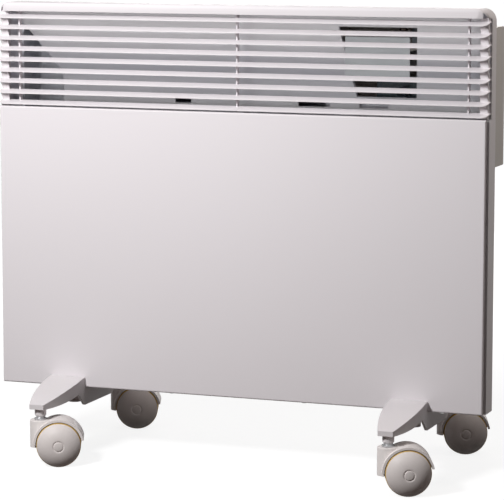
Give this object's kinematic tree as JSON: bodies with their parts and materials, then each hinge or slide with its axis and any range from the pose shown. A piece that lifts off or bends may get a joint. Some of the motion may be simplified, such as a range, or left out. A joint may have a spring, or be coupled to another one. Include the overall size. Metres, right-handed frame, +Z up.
{
  "type": "panel convector heater",
  "caption": "Slim electric panel convector heater with a louvred top outlet, rear control box and two splayed castor feet.",
  "frame": {"origin": "on the floor, under the middle of the whole footprint", "axes": "+Z up, the front panel faces -Y, +X towards the control box side"},
  "size_m": [0.58, 0.2831, 0.516],
  "materials": {
    "white_enamel": "fine satin stove enamel",
    "zinc_steel": "zinc plated sheet",
    "bright_sheet": "aluminised sheet, dull bright",
    "fin_aluminium": "extruded, mill finish",
    "rod_steel": "heat darkened sheath",
    "white_ceramic": "unglazed steatite",
    "black_plastic": "fine grain",
    "box_plastic": "fine grain",
    "knob_plastic": "satin",
    "amber_lens": "clear amber",
    "green_board": "solder resist",
    "board_plastic": "moulded",
    "cream_plastic": "moulded",
    "screw_steel": "zinc plated",
    "foot_plastic": "satin moulding",
    "castor_plastic": "satin moulding",
    "wheel_plastic": "satin moulding",
    "bright_steel": "bright plated"
  },
  "bodies": {
    "heater": {"front_panel": "white_enamel", "rear_casing": "white_enamel", "rear_pan": "white_enamel", "grille_frame": "white_enamel", "outlet_louvres": "white_enamel", "air_inlet_grid": "zinc_steel", "control_bracket": "zinc_steel", "element_holder_left": "zinc_steel", "element_holder_right": "zinc_steel", "foot_clamp_left": "zinc_steel", "foot_clamp_right": "zinc_steel", "heat_shield": "bright_sheet", "heating_element": "fin_aluminium", "element_rod": "rod_steel", "thermal_cutout": "rod_steel", "element_insulator_left": "white_ceramic", "element_insulator_right": "white_ceramic", "temperature_sensor": "black_plastic", "switch_body": "black_plastic", "thermostat_body": "black_plastic", "cord_gland": "black_plastic", "control_box": "box_plastic", "control_fascia": "box_plastic", "pilot_lens": "amber_lens", "control_board": "green_board", "board_parts": "board_plastic", "terminal_block": "cream_plastic", "casing_screws": "screw_steel", "foot_screws": "screw_steel", "foot_left": "foot_plastic", "foot_right": "foot_plastic", "castor_socket_front_left": "foot_plastic", "castor_stem_front_left": "bright_steel", "castor_socket_rear_left": "foot_plastic", "castor_stem_rear_left": "bright_steel", "castor_socket_front_right": "foot_plastic", "castor_stem_front_right": "bright_steel", "castor_socket_rear_right": "foot_plastic", "castor_stem_rear_right": "bright_steel"},
    "thermostat_dial": {"thermostat_knob": "knob_plastic", "thermostat_shaft": "zinc_steel"},
    "mode_key": {"mode_rocker": "knob_plastic"},
    "castor_front_left": {"castor_hood_front_left": "castor_plastic", "castor_axle_front_left": "bright_steel"},
    "wheel_outer_front_left": {"wheel_outer_front_left": "wheel_plastic"},
    "wheel_inner_front_left": {"wheel_inner_front_left": "wheel_plastic"},
    "castor_rear_left": {"castor_hood_rear_left": "castor_plastic", "castor_axle_rear_left": "bright_steel"},
    "wheel_outer_rear_left": {"wheel_outer_rear_left": "wheel_plastic"},
    "wheel_inner_rear_left": {"wheel_inner_rear_left": "wheel_plastic"},
    "castor_front_right": {"castor_hood_front_right": "castor_plastic", "castor_axle_front_right": "bright_steel"},
    "wheel_outer_front_right": {"wheel_outer_front_right": "wheel_plastic"},
    "wheel_inner_front_right": {"wheel_inner_front_right": "wheel_plastic"},
    "castor_rear_right": {"castor_hood_rear_right": "castor_plastic", "castor_axle_rear_right": "bright_steel"},
    "wheel_outer_rear_right": {"wheel_outer_rear_right": "wheel_plastic"},
    "wheel_inner_rear_right": {"wheel_inner_rear_right": "wheel_plastic"}
  },
  "joints": [
    {"name": "thermostat_turn", "type": "hinge", "parent": "heater", "child": "thermostat_dial", "pos_m": [0.254, 0.005, 0.495], "axis": [0, 0, -1], "range_deg": [0, 270]},
    {"name": "mode_key_tilt", "type": "hinge", "parent": "heater", "child": "mode_key", "pos_m": [0.206, 0.005, 0.491], "axis": [0, -1, 0], "range_deg": [0, 16]},
    {"name": "castor_swivel_front_left", "type": "hinge", "parent": "heater", "child": "castor_front_left", "pos_m": [-0.205, -0.121, 0.04], "axis": [0, 0, 1], "continuous": true},
    {"name": "wheel_roll_outer_front_left", "type": "hinge", "parent": "castor_front_left", "child": "wheel_outer_front_left", "pos_m": [-0.18613, -0.11299, 0.025], "axis": [-0.3907, 0.9205, 0], "continuous": true},
    {"name": "wheel_roll_inner_front_left", "type": "hinge", "parent": "castor_front_left", "child": "wheel_inner_front_left", "pos_m": [-0.18613, -0.11299, 0.025], "axis": [-0.3907, 0.9205, 0], "continuous": true},
    {"name": "castor_swivel_rear_left", "type": "hinge", "parent": "heater", "child": "castor_rear_left", "pos_m": [-0.205, 0.105, 0.04], "axis": [0, 0, 1], "continuous": true},
    {"name": "wheel_roll_outer_rear_left", "type": "hinge", "parent": "castor_rear_left", "child": "wheel_outer_rear_left", "pos_m": [-0.1858, 0.11218, 0.025], "axis": [-0.3502, 0.9367, 0], "continuous": true},
    {"name": "wheel_roll_inner_rear_left", "type": "hinge", "parent": "castor_rear_left", "child": "wheel_inner_rear_left", "pos_m": [-0.1858, 0.11218, 0.025], "axis": [-0.3502, 0.9367, 0], "continuous": true},
    {"name": "castor_swivel_front_right", "type": "hinge", "parent": "heater", "child": "castor_front_right", "pos_m": [0.205, -0.121, 0.04], "axis": [0, 0, 1], "continuous": true},
    {"name": "wheel_roll_outer_front_right", "type": "hinge", "parent": "castor_front_right", "child": "wheel_outer_front_right", "pos_m": [0.22394, -0.11316, 0.025], "axis": [-0.3827, 0.9239, 0], "continuous": true},
    {"name": "wheel_roll_inner_front_right", "type": "hinge", "parent": "castor_front_right", "child": "wheel_inner_front_right", "pos_m": [0.22394, -0.11316, 0.025], "axis": [-0.3827, 0.9239, 0], "continuous": true},
    {"name": "castor_swivel_rear_right", "type": "hinge", "parent": "heater", "child": "castor_rear_right", "pos_m": [0.205, 0.105, 0.04], "axis": [0, 0, 1], "continuous": true},
    {"name": "wheel_roll_outer_rear_right", "type": "hinge", "parent": "castor_rear_right", "child": "wheel_outer_rear_right", "pos_m": [0.22438, 0.11167, 0.025], "axis": [-0.3256, 0.9455, 0], "continuous": true},
    {"name": "wheel_roll_inner_rear_right", "type": "hinge", "parent": "castor_rear_right", "child": "wheel_inner_rear_right", "pos_m": [0.22438, 0.11167, 0.025], "axis": [-0.3256, 0.9455, 0], "continuous": true}
  ]
}
